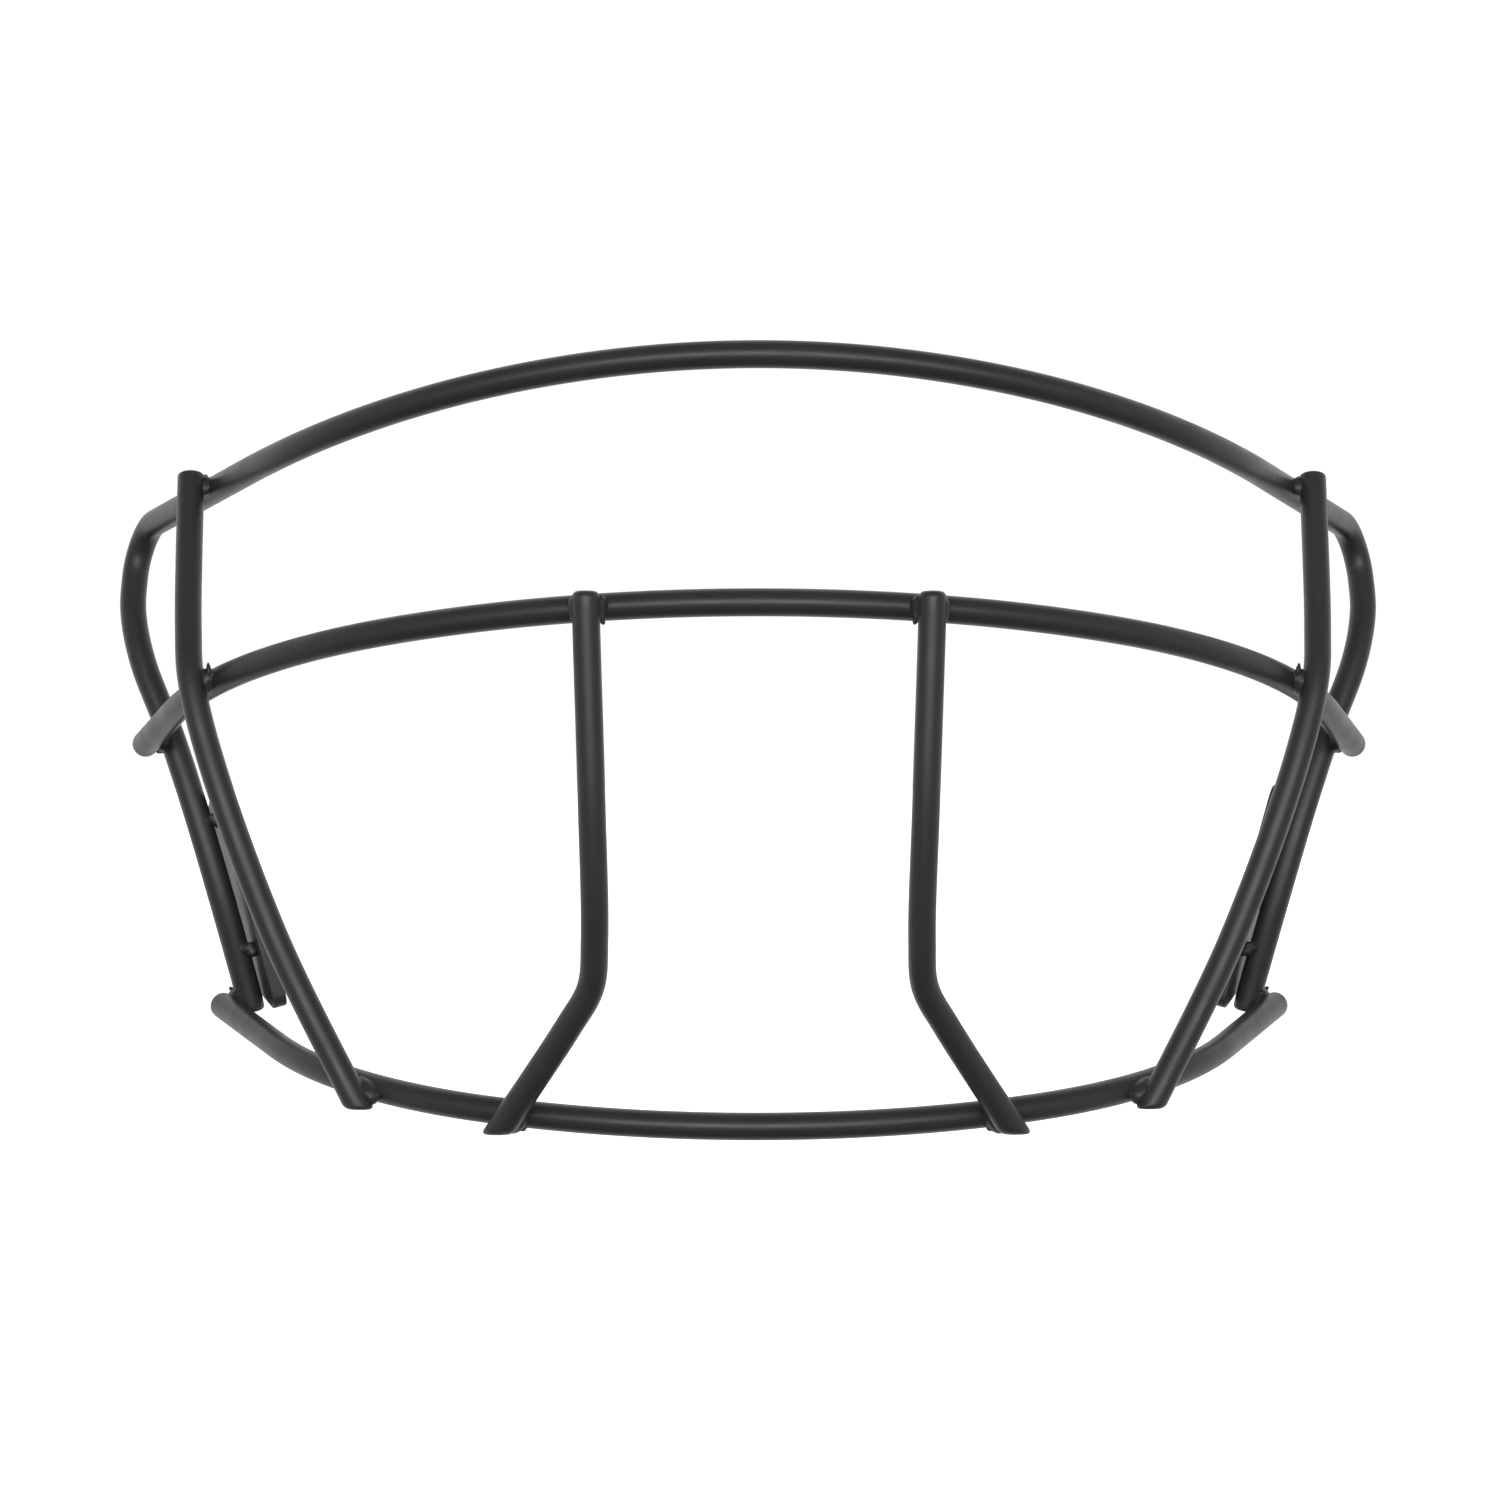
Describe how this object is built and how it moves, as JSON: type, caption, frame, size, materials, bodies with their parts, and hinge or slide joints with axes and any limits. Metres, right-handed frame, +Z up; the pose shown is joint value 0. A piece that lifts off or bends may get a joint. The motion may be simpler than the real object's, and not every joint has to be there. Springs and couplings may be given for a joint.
{
  "type": "wire face guard",
  "caption": "Open face guard of bent round steel rod: a brow bar that turns down into side wires, crossbars, uprights and side mounting plates, all welded and coated black.",
  "frame": {"origin": "centre of the guard's bounding box", "axes": "+X towards the guard's right as seen from the front, -Y is the front that looks away from the wearer, +Z up; the halves mirror about X = 0"},
  "size_m": [0.2406, 0.115, 0.1428],
  "materials": {
    "rod_coat": "near-black satin powder coat on steel rod",
    "plate_coat": "near-black satin powder coat on steel plate",
    "weld_coat": "near-black powder coat over weld metal, a little rougher"
  },
  "bodies": {
    "root": {"perimeter_wire": "rod_coat", "middle_crossbar": "rod_coat", "lower_crossbar": "rod_coat", "outer_vertical_left": "rod_coat", "inner_vertical_left": "rod_coat", "outer_vertical_right": "rod_coat", "inner_vertical_right": "rod_coat", "mounting_plate_left": "plate_coat", "mounting_plate_right": "plate_coat", "weld_outer_brow_left": "weld_coat", "weld_outer_brow_right": "weld_coat", "weld_outer_middle_left": "weld_coat", "weld_outer_middle_right": "weld_coat", "weld_outer_lower_left": "weld_coat", "weld_outer_lower_right": "weld_coat", "weld_inner_middle_left": "weld_coat", "weld_inner_middle_right": "weld_coat", "weld_inner_lower_left": "weld_coat", "weld_inner_lower_right": "weld_coat", "weld_side_middle_left": "weld_coat", "weld_side_middle_right": "weld_coat", "weld_side_lower_left": "weld_coat", "weld_side_lower_right": "weld_coat", "weld_plate_upper_left": "weld_coat", "weld_plate_upper_right": "weld_coat", "weld_plate_lower_left": "weld_coat", "weld_plate_lower_right": "weld_coat"}
  },
  "joints": []
}
